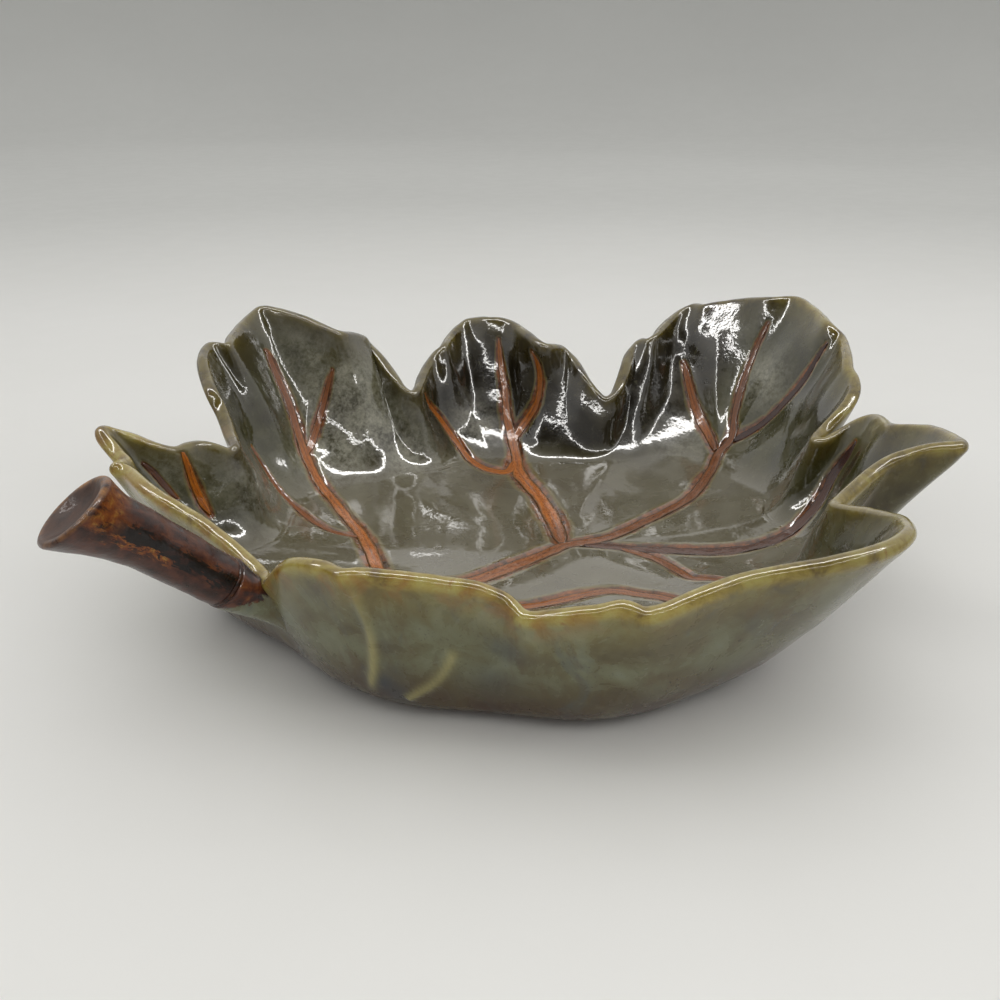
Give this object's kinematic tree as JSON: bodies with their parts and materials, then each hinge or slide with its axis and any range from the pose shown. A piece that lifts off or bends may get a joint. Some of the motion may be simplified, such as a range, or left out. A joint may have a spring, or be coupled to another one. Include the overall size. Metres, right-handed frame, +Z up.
{
  "type": "leaf platter",
  "caption": "Deep leaf-shaped dish of glazed ceramic with incised rust-coloured veins, a rolled lobed rim and a stem handle; stands on a low ring and holds fruit or snacks.",
  "frame": {"origin": "middle of the box round the dish, on the table plane", "axes": "+X along the midrib from the stem to the terminal lobe, +Z up"},
  "size_m": [0.304, 0.2602, 0.0727],
  "materials": {
    "green_glaze": "glossy grey-green glaze, olive where it thins on edges",
    "brown_stain": "glossy brown stain with orange and black patches",
    "slip_bead": "glossy dark brown, stained like the stem beside it",
    "bare_clay": "matt unglazed red-brown clay",
    "rust_slip": "rust-orange slip under clear glaze"
  },
  "bodies": {
    "root": {"leaf_bowl": "green_glaze", "stem_handle": "brown_stain", "luting_slip": "slip_bead", "foot_ring": "bare_clay", "vein_midrib": "rust_slip", "vein_c_trunk": "rust_slip", "vein_b_trunk": "rust_slip", "vein_e": "rust_slip", "vein_f_trunk": "rust_slip", "vein_f_short": "rust_slip", "vein_d_right": "rust_slip", "vein_d_left": "rust_slip", "vein_c_right": "rust_slip", "vein_c_left": "rust_slip", "vein_b_right": "rust_slip", "vein_b_lower": "rust_slip", "vein_a": "rust_slip", "vein_a_outer": "rust_slip", "vein_g": "rust_slip", "vein_g_outer": "rust_slip"}
  },
  "joints": []
}
